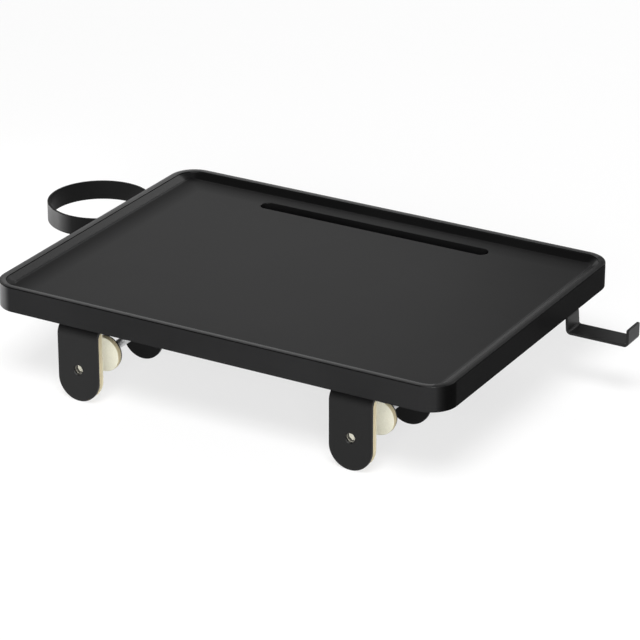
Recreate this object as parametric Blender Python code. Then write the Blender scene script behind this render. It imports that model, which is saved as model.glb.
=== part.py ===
"""Laptop bed table: a rimmed tray on two screw clamps that grip the rail of a bed.

Metres, +Z up. X runs along the tray's front edge, Y from the front to the back. The origin is the
seat of the bed's rail: midway between the clamps, in the plane of the fixed jaws' pads, level with
the underside of the clamps' bridges.
"""

import math

import bmesh
import bpy
from mathutils import Matrix, Vector

MM = 0.001

# Fits
FACE_GAP = 0.3 * MM
RUNNING_GAP = 0.3 * MM
TIP_GAP = 0.8 * MM
CUT_OVER = 1 * MM

# Tray board
TRAY_WIDTH = 440 * MM
TRAY_DEPTH = 318 * MM
TRAY_HEIGHT = 23 * MM
TRAY_CORNER_RADIUS = 24 * MM
RIM_WIDTH = 6 * MM
RIM_SLOPE_RUN = 7.5 * MM
FLOOR_RECESS = 5 * MM
EDGE_ROUND = 0.9 * MM
LEAST_CORNER_RADIUS = 2 * MM

# Tablet groove in the tray's floor
GROOVE_LENGTH = 230 * MM
GROOVE_WIDTH = 13.5 * MM
GROOVE_DEPTH = 7 * MM
GROOVE_FROM_BACK = 37.5 * MM
GROOVE_EDGE_BREAK = 0.6 * MM

# Clamp brackets, each one flat bar bent to a U
CLAMP_SPACING = 265.4 * MM
FRONT_OVERHANG = 4.3 * MM
BAR_WIDTH = 40 * MM
BAR_THICKNESS = 3 * MM
BAR_BEND_RADIUS = 4 * MM
LEG_DROP = 66.8 * MM
CLAMP_MOUTH = 97.6 * MM
SCREW_DROP = 38 * MM
FRONT_HOLE_DIAMETER = 8.5 * MM

# Felt pads
JAW_PAD_THICKNESS = 6 * MM
JAW_PAD_MARGIN = 0.3 * MM
PRESSURE_PAD_THICKNESS = 5 * MM

# Pressure plate, turning on the screw's journal
PLATE_DIAMETER = 32 * MM
PLATE_THICKNESS = 1.6 * MM
HUB_DIAMETER = 12.5 * MM
HUB_LENGTH = 4.5 * MM
CLIP_DIAMETER = 9 * MM
CLIP_THICKNESS = 1 * MM
CLIP_OPENING = 70.0

# Clamp screw, nut and knob
SCREW_DIAMETER = 8 * MM
SCREW_LENGTH = 92 * MM
SCREW_CHAMFER = 0.8 * MM
JOURNAL_DIAMETER = 6 * MM
JOURNAL_GROOVE_DEPTH = 0.8 * MM
JOURNAL_END = 1.0 * MM
NUT_ACROSS_FLATS = 13 * MM
NUT_LENGTH = 6.5 * MM
KNOB_DIAMETER = 34 * MM
KNOB_LENGTH = 18 * MM
KNOB_LOBES = 8
KNOB_LOBE_DEPTH = 1.8 * MM
KNOB_NECK_DIAMETER = 17 * MM
KNOB_NECK_LENGTH = 4 * MM
KNOB_EDGE_ROUND = 2.2 * MM
KNOB_BORE_DEPTH = 13 * MM

# How far each clamp stands open, between its two pads
RAIL_GAP = {"left": 28.8 * MM, "right": 36.3 * MM}

# Cup ring
RING_DIAMETER = 97 * MM
RING_WALL = 2.5 * MM
RING_HEIGHT = 18 * MM
RING_BEYOND_SIDE = 55 * MM
RING_FROM_FRONT = 255.4 * MM
TAB_WIDTH = 40 * MM
TAB_THICKNESS = 3 * MM
TAB_REACH = 44 * MM
TAB_CORNER_RADIUS = 6 * MM

# Side hook
HOOK_WIDTH = 22 * MM
HOOK_THICKNESS = 2.5 * MM
HOOK_BEND_RADIUS = 2 * MM
HOOK_FROM_FRONT = 243.8 * MM
HOOK_MOUNT_LENGTH = 50 * MM
HOOK_SET_IN = 3.2 * MM
HOOK_STRAP_LEAN = 1.2 * MM
HOOK_DROP = 18.7 * MM
HOOK_REACH = 54.2 * MM
HOOK_LIP_HEIGHT = 16 * MM

# Countersunk fixing screws
FIX_HEAD_DIAMETER = 7.5 * MM
FIX_SHANK_DIAMETER = 3.5 * MM
FIX_LENGTH = 14 * MM
FIX_POINT_LENGTH = 3 * MM
FIX_SUNK = 0.1 * MM
FIX_CROSS_WIDTH = 1.0 * MM
FIX_CROSS_SPAN = 4.2 * MM
FIX_CROSS_DEPTH = 1.2 * MM
BRACKET_SCREW_EDGE = 9 * MM
BRACKET_SCREW_SPACING_Y = 50 * MM
TAB_SCREW_SPACING = 22 * MM
TAB_SCREW_EDGE = 13 * MM
HOOK_SCREW_SPACING = 19 * MM

# Facets
CORNER_STEPS = 9
BEND_STEPS = 6
END_STEPS = 10
RING_SEGMENTS = 72
PLATE_SEGMENTS = 40
ROD_SEGMENTS = 24
SMALL_SEGMENTS = 16

# Colour, roughness and metallic value of each finish
FINISHES = {
    "black_lacquer": ((0.022, 0.022, 0.023), 0.48, 0.0),
    "black_powder_coat": ((0.020, 0.020, 0.021), 0.42, 0.1),
    "cream_felt": ((0.80, 0.77, 0.62), 0.9, 0.0),
    "zinc_steel": ((0.60, 0.60, 0.61), 0.32, 1.0),
    "black_plastic": ((0.025, 0.025, 0.026), 0.55, 0.0),
    "black_screw": ((0.05, 0.05, 0.05), 0.4, 0.8),
}

# Levels and planes that several pieces share
BAR_TOP = BAR_THICKNESS
TRAY_BOTTOM = BAR_TOP + FACE_GAP
TRAY_TOP = TRAY_BOTTOM + TRAY_HEIGHT
FLOOR_TOP = TRAY_TOP - FLOOR_RECESS
FRONT_LEG_INNER = -(JAW_PAD_THICKNESS + FACE_GAP)
FRONT_LEG_OUTER = FRONT_LEG_INNER - BAR_THICKNESS
REAR_LEG_INNER = FRONT_LEG_INNER + CLAMP_MOUTH
REAR_LEG_OUTER = REAR_LEG_INNER + BAR_THICKNESS
TRAY_FRONT = FRONT_LEG_OUTER - FRONT_OVERHANG
TRAY_BACK = TRAY_FRONT + TRAY_DEPTH
SCREW_BORE_DIAMETER = SCREW_DIAMETER + 2 * RUNNING_GAP
BRIDGE_MIDDLE = (FRONT_LEG_INNER + REAR_LEG_INNER) / 2


def clear_scene():
    for obj in list(bpy.data.objects):
        bpy.data.objects.remove(obj)


def finish(obj, kind):
    color, roughness, metallic = FINISHES[kind]
    mat = bpy.data.materials.new(obj.name + "_" + kind)
    mat.use_nodes = True
    shader = mat.node_tree.nodes["Principled BSDF"]
    shader.inputs["Base Color"].default_value = (*color, 1.0)
    shader.inputs["Roughness"].default_value = roughness
    shader.inputs["Metallic"].default_value = metallic
    obj.data.materials.append(mat)
    return obj


def add_object(name, bm, place=None, smooth=True):
    """A new object from a bmesh whose faces are turned to point outwards."""
    bmesh.ops.recalc_face_normals(bm, faces=bm.faces[:])
    mesh = bpy.data.meshes.new(name)
    bm.to_mesh(mesh)
    bm.free()
    if smooth:
        mesh.shade_smooth()
        mesh.set_sharp_from_angle(angle=math.radians(32))
    obj = bpy.data.objects.new(name, mesh)
    bpy.context.scene.collection.objects.link(obj)
    if place is not None:
        obj.matrix_world = place
    return obj


def add_empty(name, location, parent=None):
    obj = bpy.data.objects.new(name, None)
    bpy.context.scene.collection.objects.link(obj)
    obj.empty_display_size = 20 * MM
    obj.location = location
    obj.parent = parent
    return obj


def hang_on(obj, parent, location=(0, 0, 0), rotation=(0, 0, 0)):
    obj.parent = parent
    obj.location = location
    obj.rotation_euler = rotation
    return obj


def combine(obj, tool, operation="DIFFERENCE"):
    """Cut a tool out of an object, or unite it with the object."""
    tool.hide_render = True
    tool.display_type = "WIRE"
    mod = obj.modifiers.new(tool.name, "BOOLEAN")
    mod.operation = operation
    mod.solver = "EXACT"
    mod.object = tool
    return obj


def bridge(bm, lower, upper):
    """Quads between two closed loops of as many vertices."""
    count = len(lower)
    for i in range(count):
        j = (i + 1) % count
        bm.faces.new((lower[i], lower[j], upper[j], upper[i]))


def loft(bm, loops):
    """A closed skin over a stack of closed loops of points, with flat ends."""
    rings = [[bm.verts.new(p) for p in loop] for loop in loops]
    for lower, upper in zip(rings, rings[1:]):
        bridge(bm, lower, upper)
    bm.faces.new(rings[0][::-1])
    bm.faces.new(rings[-1])


def turn(bm, profile, segments):
    """Revolve (radius, height) points about Z. Radius 0 closes the shape at a pole.

    A profile with no pole is closed from its last point back to its first, as a ring is."""
    rings = []
    for radius, height in profile:
        if radius == 0:
            rings.append([bm.verts.new((0, 0, height))])
            continue
        ring = []
        for i in range(segments):
            angle = 2 * math.pi * i / segments
            ring.append(bm.verts.new((radius * math.cos(angle), radius * math.sin(angle), height)))
        rings.append(ring)
    pairs = list(zip(rings, rings[1:]))
    if len(rings[0]) > 1 and len(rings[-1]) > 1:
        pairs.append((rings[-1], rings[0]))
    for lower, upper in pairs:
        for i in range(segments):
            j = (i + 1) % segments
            corners = [lower[i % len(lower)], lower[j % len(lower)]]
            corners += [upper[j % len(upper)], upper[i % len(upper)]]
            bm.faces.new(list(dict.fromkeys(corners)))


def rounded_rectangle(width, depth, radius, z, steps, center=(0, 0)):
    """Points of a rectangle with rounded corners, one after the other, at height z."""
    points = []
    for corner in range(4):
        sx = 1 if corner in (0, 3) else -1
        sy = 1 if corner in (0, 1) else -1
        cx = center[0] + sx * (width / 2 - radius)
        cy = center[1] + sy * (depth / 2 - radius)
        for i in range(steps + 1):
            angle = math.radians(90) * (corner + i / steps)
            points.append((cx + radius * math.cos(angle), cy + radius * math.sin(angle), z))
    return points


def slot_outline(length, width, z, steps, center=(0, 0)):
    """Points of a slot along X with half-round ends."""
    radius = width / 2
    points = []
    for side, start in ((1, -90), (-1, 90)):
        cx = center[0] + side * (length / 2 - radius)
        for i in range(steps + 1):
            angle = math.radians(start + 180 * i / steps)
            points.append((cx + radius * math.cos(angle), center[1] + radius * math.sin(angle), z))
    return points


def bar_stations(corners, bend_radius, thickness, steps, first_marks=(0.0,), last_marks=(0.0,)):
    """Stations along a bent flat bar, as (middle, direction, distance to the nearer end).

    corners are the middle line's corners in the plane of the bends. The marks are distances from
    each end at which the first and the last straight run also get a station."""
    points = [Vector(p) for p in corners]
    middle_radius = bend_radius + thickness / 2
    stations = []
    first = (points[1] - points[0]).normalized()
    for mark in first_marks:
        stations.append((points[0] + first * mark, first, mark))
    for before, corner, after in zip(points, points[1:], points[2:]):
        d_in = (corner - before).normalized()
        d_out = (after - corner).normalized()
        turn_angle = d_in.angle_signed(d_out)
        setback = middle_radius * math.tan(abs(turn_angle) / 2)
        start = corner - d_in * setback
        side = 1 if d_in.cross(d_out) > 0 else -1
        normal = Vector((-d_in.y, d_in.x)) * side
        center = start + normal * middle_radius
        for i in range(steps + 1):
            angle = abs(turn_angle) * i / steps * side
            rotation = Matrix.Rotation(angle, 2)
            stations.append((center - rotation @ normal * middle_radius, rotation @ d_in, None))
    last = (points[-1] - points[-2]).normalized()
    for mark in reversed(last_marks):
        stations.append((points[-1] - last * mark, last, mark))
    return stations


def bent_bar(bm, stations, thickness, width_at, to_world):
    """The solid of a flat bar over its stations. to_world places (u, v) of the bend plane and w."""
    rows = []
    for middle, direction, mark in stations:
        normal = Vector((-direction.y, direction.x)) * (thickness / 2)
        half = width_at(mark) / 2
        row = []
        for point, w in (
            (middle + normal, -half),
            (middle + normal, half),
            (middle - normal, half),
            (middle - normal, -half),
        ):
            row.append(bm.verts.new(to_world(point.x, point.y, w)))
        rows.append(row)
    for lower, upper in zip(rows, rows[1:]):
        bridge(bm, lower, upper)
    bm.faces.new(rows[0][::-1])
    bm.faces.new(rows[-1])
    bmesh.ops.remove_doubles(bm, verts=bm.verts[:], dist=0.00001)


def cylinder_tool(name, places, profile, segments):
    """One cutter with a turned shape at each place."""
    bm = bmesh.new()
    for place in places:
        part = bmesh.new()
        turn(part, profile, segments)
        bmesh.ops.transform(part, matrix=place, verts=part.verts[:])
        mesh = bpy.data.meshes.new(name)
        part.to_mesh(mesh)
        part.free()
        bm.from_mesh(mesh)
        bpy.data.meshes.remove(mesh)
    return add_object(name, bm, smooth=False)


ALONG_Y = Matrix.Rotation(math.radians(-90), 4, "X")


# Places of the fixing screws, each at its head, on the underside of the bar that it holds
def bracket_screw_places(clamp_x):
    places = []
    for sy in (-1, 1):
        for sx in (-1, 1):
            x = clamp_x + sx * (BAR_WIDTH / 2 - BRACKET_SCREW_EDGE)
            y = BRIDGE_MIDDLE + sy * BRACKET_SCREW_SPACING_Y / 2
            places.append((x, y, BAR_TOP - BAR_THICKNESS))
    return places


def tab_screw_places():
    x = -TRAY_WIDTH / 2 + TAB_REACH - TAB_SCREW_EDGE
    y = TRAY_FRONT + RING_FROM_FRONT
    z = BAR_TOP - TAB_THICKNESS
    return [(x, y + side * TAB_SCREW_SPACING / 2, z) for side in (-1, 1)]


def hook_screw_places():
    x = TRAY_WIDTH / 2 - HOOK_MOUNT_LENGTH + TAB_SCREW_EDGE
    y = TRAY_FRONT + HOOK_FROM_FRONT
    z = BAR_TOP - HOOK_THICKNESS
    return [(x + i * HOOK_SCREW_SPACING, y, z) for i in (0, 1)]


def countersink(name, places, thickness):
    """A cutter for screw holes through a bar, each opened to a cone at the bar's underside."""
    head = FIX_HEAD_DIAMETER / 2 + RUNNING_GAP
    shank = FIX_SHANK_DIAMETER / 2 + RUNNING_GAP
    profile = [
        (0, -CUT_OVER),
        (head, -CUT_OVER),
        (head, FIX_SUNK),
        (shank, FIX_SUNK + head - shank),
        (shank, thickness + CUT_OVER),
        (0, thickness + CUT_OVER),
    ]
    return cylinder_tool(name, [Matrix.Translation(p) for p in places], profile, SMALL_SEGMENTS)


def make_fixing_screw(name, place):
    """A countersunk wood screw with a cross slot, its head down."""
    head = FIX_HEAD_DIAMETER / 2
    shank = FIX_SHANK_DIAMETER / 2
    cone_end = FIX_SUNK + head - shank
    bm = bmesh.new()
    profile = [
        (0, FIX_SUNK),
        (head, FIX_SUNK),
        (shank, cone_end),
        (shank, FIX_LENGTH - FIX_POINT_LENGTH),
        (shank / 4, FIX_LENGTH),
        (0, FIX_LENGTH),
    ]
    turn(bm, profile, SMALL_SEGMENTS)
    screw = add_object(name, bm, Matrix.Translation(place))
    for axis, quarter in (("x", 0), ("y", 90)):
        bm = bmesh.new()
        bmesh.ops.create_cube(bm, size=1)
        size = (FIX_CROSS_SPAN, FIX_CROSS_WIDTH, 2 * FIX_CROSS_DEPTH)
        bmesh.ops.scale(bm, vec=size, verts=bm.verts[:])
        place_tool = Matrix.Translation(place) @ Matrix.Translation((0, 0, FIX_SUNK))
        place_tool = place_tool @ Matrix.Rotation(math.radians(quarter), 4, "Z")
        tool = add_object(name + "_cross_" + axis, bm, place_tool, smooth=False)
        combine(screw, tool)
    return finish(screw, "black_screw")


# The tray: outer walls, rounded edges, flat rim, sloped inner wall and floor in one skin
def make_tray(hole_places):
    center = (0, (TRAY_FRONT + TRAY_BACK) / 2)
    levels = [
        (EDGE_ROUND, TRAY_BOTTOM),
        (0.3 * EDGE_ROUND, TRAY_BOTTOM + 0.3 * EDGE_ROUND),
        (0, TRAY_BOTTOM + EDGE_ROUND),
        (0, TRAY_TOP - EDGE_ROUND),
        (0.3 * EDGE_ROUND, TRAY_TOP - 0.3 * EDGE_ROUND),
        (EDGE_ROUND, TRAY_TOP),
        (RIM_WIDTH - EDGE_ROUND, TRAY_TOP),
        (RIM_WIDTH, TRAY_TOP - 0.25 * EDGE_ROUND),
        (RIM_WIDTH + 0.88 * RIM_SLOPE_RUN, FLOOR_TOP + 0.06 * FLOOR_RECESS),
        (RIM_WIDTH + RIM_SLOPE_RUN, FLOOR_TOP),
    ]
    loops = []
    for inset, z in levels:
        width = TRAY_WIDTH - 2 * inset
        depth = TRAY_DEPTH - 2 * inset
        radius = max(TRAY_CORNER_RADIUS - inset, LEAST_CORNER_RADIUS)
        loops.append(rounded_rectangle(width, depth, radius, z, CORNER_STEPS, center))
    bm = bmesh.new()
    loft(bm, loops)
    tray = add_object("tray_board", bm)

    middle = (0, TRAY_BACK - GROOVE_FROM_BACK)
    groove_levels = [
        (0, FLOOR_TOP - GROOVE_DEPTH),
        (0, FLOOR_TOP - GROOVE_EDGE_BREAK),
        (GROOVE_EDGE_BREAK, FLOOR_TOP),
        (GROOVE_EDGE_BREAK, FLOOR_TOP + CUT_OVER),
    ]
    bm = bmesh.new()
    loops = []
    for grow, z in groove_levels:
        length = GROOVE_LENGTH + 2 * grow
        width = GROOVE_WIDTH + 2 * grow
        loops.append(slot_outline(length, width, z, END_STEPS, middle))
    loft(bm, loops)
    combine(tray, add_object("groove_cutter", bm, smooth=False))

    radius = FIX_SHANK_DIAMETER / 2 + RUNNING_GAP
    tip = FIX_LENGTH + TIP_GAP
    places = []
    for x, y, z in hole_places:
        places.append(Matrix.Translation((x, y, z)))
    profile = [(0, -CUT_OVER), (radius, -CUT_OVER), (radius, tip), (0, tip)]
    combine(tray, cylinder_tool("tray_hole_cutter", places, profile, SMALL_SEGMENTS))
    return finish(tray, "black_lacquer")


def make_bracket(side, clamp_x):
    """A flat bar bent to a U, with round leg ends, seen from the side: front leg, bridge, rear leg."""
    radius = BAR_WIDTH / 2
    marks = [radius * (1 - math.cos(math.radians(90) * i / END_STEPS)) for i in range(END_STEPS + 1)]

    def width_at(mark):
        if mark is None or mark >= radius:
            return BAR_WIDTH
        return 2 * math.sqrt(max(radius**2 - (radius - mark) ** 2, 0))

    front = FRONT_LEG_INNER - BAR_THICKNESS / 2
    rear = REAR_LEG_INNER + BAR_THICKNESS / 2
    middle = BAR_TOP - BAR_THICKNESS / 2
    corners = [(front, -LEG_DROP), (front, middle), (rear, middle), (rear, -LEG_DROP)]
    stations = bar_stations(corners, BAR_BEND_RADIUS, BAR_THICKNESS, BEND_STEPS, marks, marks)
    bm = bmesh.new()
    bent_bar(bm, stations, BAR_THICKNESS, width_at, lambda y, z, w: (clamp_x + w, y, z))
    bracket = add_object(side + "_clamp_bracket", bm)

    name = side + "_bridge_hole_cutter"
    combine(bracket, countersink(name, bracket_screw_places(clamp_x), BAR_THICKNESS))
    holes = (
        ("front", FRONT_LEG_OUTER, FRONT_HOLE_DIAMETER),
        ("rear", REAR_LEG_INNER, SCREW_BORE_DIAMETER),
    )
    for leg, start, diameter in holes:
        place = Matrix.Translation((clamp_x, start, -SCREW_DROP)) @ ALONG_Y
        end = BAR_THICKNESS + CUT_OVER
        profile = [(0, -CUT_OVER), (diameter / 2, -CUT_OVER), (diameter / 2, end), (0, end)]
        name = side + "_" + leg + "_leg_hole_cutter"
        combine(bracket, cylinder_tool(name, [place], profile, ROD_SEGMENTS))
    return finish(bracket, "black_powder_coat")


def make_jaw_pad(side, clamp_x):
    """Felt in the front leg's outline, on the leg's inner face."""
    radius = BAR_WIDTH / 2 - JAW_PAD_MARGIN
    top = -BAR_BEND_RADIUS
    bottom_center = -LEG_DROP + BAR_WIDTH / 2
    outline = [(radius, top), (-radius, top)]
    for i in range(2 * END_STEPS + 1):
        angle = math.radians(180 + 180 * i / (2 * END_STEPS))
        outline.append((radius * math.cos(angle), bottom_center + radius * math.sin(angle)))
    bm = bmesh.new()
    back = -JAW_PAD_THICKNESS
    loft(bm, [[(x, y, z) for x, z in outline] for y in (back, 0)])
    pad = add_object(side + "_jaw_pad", bm, Matrix.Translation((clamp_x, 0, 0)))
    return finish(pad, "cream_felt")


# Distances behind the pressure pad's face, along the screw
PLATE_FRONT = PRESSURE_PAD_THICKNESS + FACE_GAP
PLATE_BACK = PLATE_FRONT + PLATE_THICKNESS
HUB_BACK = PLATE_BACK + HUB_LENGTH
SHOULDER = HUB_BACK + RUNNING_GAP
POCKET_DEPTH = JOURNAL_END + CLIP_THICKNESS + 2 * RUNNING_GAP
POCKET_FLOOR = PLATE_FRONT + POCKET_DEPTH
CLIP_BACK = POCKET_FLOOR - RUNNING_GAP
JOURNAL_TIP = PLATE_FRONT + RUNNING_GAP
KNOB_FRONT = SHOULDER + SCREW_LENGTH


def make_pressure_plate(side, carrier):
    """A round plate with a hub, bored for the screw's journal and pocketed for the clip."""
    bore = JOURNAL_DIAMETER / 2 + RUNNING_GAP
    pocket = CLIP_DIAMETER / 2 + RUNNING_GAP
    profile = [
        (pocket, PLATE_FRONT),
        (PLATE_DIAMETER / 2, PLATE_FRONT),
        (PLATE_DIAMETER / 2, PLATE_BACK),
        (HUB_DIAMETER / 2, PLATE_BACK),
        (HUB_DIAMETER / 2, HUB_BACK),
        (bore, HUB_BACK),
        (bore, POCKET_FLOOR),
        (pocket, POCKET_FLOOR),
    ]
    bm = bmesh.new()
    turn(bm, profile, PLATE_SEGMENTS)
    plate = add_object(side + "_pressure_plate", bm)
    hang_on(plate, carrier, rotation=(math.radians(-90), 0, 0))
    return finish(plate, "black_powder_coat")


def make_pressure_pad(side, carrier):
    bm = bmesh.new()
    radius = PLATE_DIAMETER / 2
    profile = [(0, 0), (radius, 0), (radius, PRESSURE_PAD_THICKNESS), (0, PRESSURE_PAD_THICKNESS)]
    turn(bm, profile, PLATE_SEGMENTS)
    pad = add_object(side + "_pressure_pad", bm)
    hang_on(pad, carrier, rotation=(math.radians(-90), 0, 0))
    return finish(pad, "cream_felt")


def make_clamp_screw(side, turning):
    """The threaded rod: journal with its clip groove, shoulder, thread, and end in the knob."""
    rod = SCREW_DIAMETER / 2
    journal = JOURNAL_DIAMETER / 2
    groove = journal - JOURNAL_GROOVE_DEPTH
    end = KNOB_FRONT + KNOB_BORE_DEPTH - FACE_GAP
    profile = [
        (0, JOURNAL_TIP),
        (journal, JOURNAL_TIP),
        (journal, CLIP_BACK - CLIP_THICKNESS - RUNNING_GAP),
        (groove, CLIP_BACK - CLIP_THICKNESS - RUNNING_GAP),
        (groove, CLIP_BACK + RUNNING_GAP),
        (journal, CLIP_BACK + RUNNING_GAP),
        (journal, SHOULDER),
        (rod - SCREW_CHAMFER, SHOULDER),
        (rod, SHOULDER + SCREW_CHAMFER),
        (rod, end - SCREW_CHAMFER),
        (rod - SCREW_CHAMFER, end),
        (0, end),
    ]
    bm = bmesh.new()
    turn(bm, profile, ROD_SEGMENTS)
    screw = add_object(side + "_clamp_screw", bm)
    hang_on(screw, turning, rotation=(math.radians(-90), 0, 0))
    return finish(screw, "zinc_steel")


def make_clip(side, turning):
    """An open retaining clip in the journal's groove."""
    inner = JOURNAL_DIAMETER / 2 - JOURNAL_GROOVE_DEPTH + RUNNING_GAP
    outer = CLIP_DIAMETER / 2
    half = math.radians(CLIP_OPENING / 2)
    sweep = 2 * math.pi - 2 * half
    outline = []
    for radius, order in ((outer, 1), (inner, -1)):
        arc = []
        for i in range(PLATE_SEGMENTS // 2 + 1):
            angle = half + sweep * i / (PLATE_SEGMENTS // 2)
            arc.append((radius * math.cos(angle), radius * math.sin(angle)))
        outline += arc[::order]
    bm = bmesh.new()
    loft(bm, [[(x, y, z) for x, y in outline] for z in (CLIP_BACK - CLIP_THICKNESS, CLIP_BACK)])
    clip = add_object(side + "_screw_clip", bm)
    hang_on(clip, turning, rotation=(math.radians(-90), 0, 0))
    return finish(clip, "zinc_steel")


def make_nut(side, clamp_x):
    """A hexagon nut on the back of the rear leg."""
    corner = NUT_ACROSS_FLATS / math.sqrt(3)
    bm = bmesh.new()
    hexagon = []
    for i in range(6):
        angle = math.radians(60 * i)
        hexagon.append((corner * math.cos(angle), corner * math.sin(angle)))
    loft(bm, [[(x, y, z) for x, y in hexagon] for z in (0, NUT_LENGTH)])
    place = Matrix.Translation((clamp_x, REAR_LEG_OUTER + FACE_GAP, -SCREW_DROP)) @ ALONG_Y
    nut = add_object(side + "_screw_nut", bm, place)
    bore = SCREW_BORE_DIAMETER / 2
    profile = [(0, -CUT_OVER), (bore, -CUT_OVER), (bore, NUT_LENGTH + CUT_OVER), (0, NUT_LENGTH + CUT_OVER)]
    combine(nut, cylinder_tool(side + "_nut_bore_cutter", [place], profile, ROD_SEGMENTS))
    return finish(nut, "zinc_steel")


def make_knob(side, turning):
    """A lobed hand knob with a neck, bored for the screw's end."""
    points = 6 * KNOB_LOBES
    neck = [(KNOB_NECK_DIAMETER / 2, 0), (KNOB_NECK_DIAMETER / 2, KNOB_NECK_LENGTH)]
    grip = []
    for i in range(4):
        angle = math.radians(90 * i / 3)
        inset = KNOB_EDGE_ROUND * (1 - math.sin(angle))
        grip.append((inset, KNOB_NECK_LENGTH + KNOB_EDGE_ROUND * (1 - math.cos(angle))))
    for i in range(4):
        angle = math.radians(90 * i / 3)
        inset = KNOB_EDGE_ROUND * (1 - math.cos(angle))
        grip.append((inset, KNOB_LENGTH - KNOB_EDGE_ROUND * (1 - math.sin(angle))))
    loops = []
    for radius, height in neck:
        loop = []
        for i in range(points):
            angle = 2 * math.pi * i / points
            loop.append((radius * math.cos(angle), radius * math.sin(angle), height))
        loops.append(loop)
    for inset, height in grip:
        loop = []
        for i in range(points):
            angle = 2 * math.pi * i / points
            radius = KNOB_DIAMETER / 2 - KNOB_LOBE_DEPTH * (0.5 - 0.5 * math.cos(KNOB_LOBES * angle))
            radius -= inset
            loop.append((radius * math.cos(angle), radius * math.sin(angle), height))
        loops.append(loop)
    bm = bmesh.new()
    loft(bm, loops)
    knob = add_object(side + "_hand_knob", bm)
    hang_on(knob, turning, (0, KNOB_FRONT, 0), (math.radians(-90), 0, 0))
    bore = SCREW_BORE_DIAMETER / 2
    profile = [(0, -CUT_OVER), (bore, -CUT_OVER), (bore, KNOB_BORE_DEPTH), (0, KNOB_BORE_DEPTH)]
    tool = cylinder_tool(side + "_knob_bore_cutter", [Matrix.Identity(4)], profile, ROD_SEGMENTS)
    hang_on(tool, turning, (0, KNOB_FRONT, 0), (math.radians(-90), 0, 0))
    combine(knob, tool)
    return finish(knob, "black_plastic")


def make_clamp(side, sign):
    clamp_x = sign * CLAMP_SPACING / 2
    make_bracket(side, clamp_x)
    make_jaw_pad(side, clamp_x)
    make_nut(side, clamp_x)
    for number, place in enumerate(bracket_screw_places(clamp_x), 1):
        make_fixing_screw(side + "_bracket_screw_" + str(number), place)
    carrier = add_empty(side + "_pad_slide", (clamp_x, RAIL_GAP[side], -SCREW_DROP))
    turning = add_empty(side + "_screw_turn", (0, 0, 0), carrier)
    make_pressure_plate(side, carrier)
    make_pressure_pad(side, carrier)
    make_clamp_screw(side, turning)
    make_clip(side, turning)
    make_knob(side, turning)


def make_cup_ring():
    """A round band and the tab that carries it under the tray."""
    center_x = -TRAY_WIDTH / 2 - RING_BEYOND_SIDE
    center_y = TRAY_FRONT + RING_FROM_FRONT
    outer = RING_DIAMETER / 2
    inner = outer - RING_WALL
    low = BAR_TOP - RING_HEIGHT
    bm = bmesh.new()
    turn(bm, [(inner, low), (outer, low), (outer, BAR_TOP), (inner, BAR_TOP)], RING_SEGMENTS)
    ring = add_object("cup_ring", bm, Matrix.Translation((center_x, center_y, 0)))

    middle = outer - RING_WALL / 2
    half = TAB_WIDTH / 2
    reach = RING_BEYOND_SIDE + TAB_REACH
    spread = math.asin(half / middle)
    outline = []
    for i in range(END_STEPS + 1):
        angle = spread * (1 - 2 * i / END_STEPS)
        outline.append((middle * math.cos(angle), middle * math.sin(angle)))
    for sy in (-1, 1):
        for i in range(BEND_STEPS + 1):
            angle = math.radians(90 * i / BEND_STEPS + (-90 if sy < 0 else 0))
            x = reach - TAB_CORNER_RADIUS + TAB_CORNER_RADIUS * math.cos(angle)
            y = sy * (half - TAB_CORNER_RADIUS) + TAB_CORNER_RADIUS * math.sin(angle)
            outline.append((x, y))
    bm = bmesh.new()
    loft(bm, [[(x, y, z) for x, y in outline] for z in (BAR_TOP - TAB_THICKNESS, BAR_TOP)])
    tab = add_object("cup_ring_tab", bm, Matrix.Translation((center_x, center_y, 0)), smooth=False)
    combine(ring, tab, "UNION")
    combine(ring, countersink("tab_hole_cutter", tab_screw_places(), TAB_THICKNESS))
    for number, place in enumerate(tab_screw_places(), 1):
        make_fixing_screw("ring_screw_" + str(number), place)
    return finish(ring, "black_powder_coat")


def make_side_hook():
    """A flat bar that runs out from under the tray, down, out and up to a lip."""
    side = TRAY_WIDTH / 2
    half = HOOK_THICKNESS / 2
    top = BAR_TOP - half
    strap = side - HOOK_SET_IN - half
    arm = TRAY_BOTTOM - HOOK_DROP + half
    lip = side + HOOK_REACH - half
    corners = [
        (side - HOOK_MOUNT_LENGTH, top),
        (strap, top),
        (strap + HOOK_STRAP_LEAN, arm),
        (lip, arm),
        (lip, arm - half + HOOK_LIP_HEIGHT),
    ]
    y = TRAY_FRONT + HOOK_FROM_FRONT
    stations = bar_stations(corners, HOOK_BEND_RADIUS, HOOK_THICKNESS, BEND_STEPS)
    bm = bmesh.new()
    bent_bar(bm, stations, HOOK_THICKNESS, lambda mark: HOOK_WIDTH, lambda x, z, w: (x, y + w, z))
    hook = add_object("side_hook", bm)
    combine(hook, countersink("hook_hole_cutter", hook_screw_places(), HOOK_THICKNESS))
    for number, place in enumerate(hook_screw_places(), 1):
        make_fixing_screw("hook_screw_" + str(number), place)
    return finish(hook, "black_powder_coat")


def main():
    clear_scene()
    holes = tab_screw_places() + hook_screw_places()
    for sign in (-1, 1):
        holes += bracket_screw_places(sign * CLAMP_SPACING / 2)
    make_tray(holes)
    make_clamp("left", -1)
    make_clamp("right", 1)
    make_cup_ring()
    make_side_hook()


main()
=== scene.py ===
"""Looks of the laptop bed table: detailed pieces, finishes, light and camera around its frame.

Metres, in the frame's axes: X along the tray's front edge, Y from the front to the back, Z up.
"""

import math

import bmesh
import bpy
from mathutils import Matrix, Vector, noise


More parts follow.
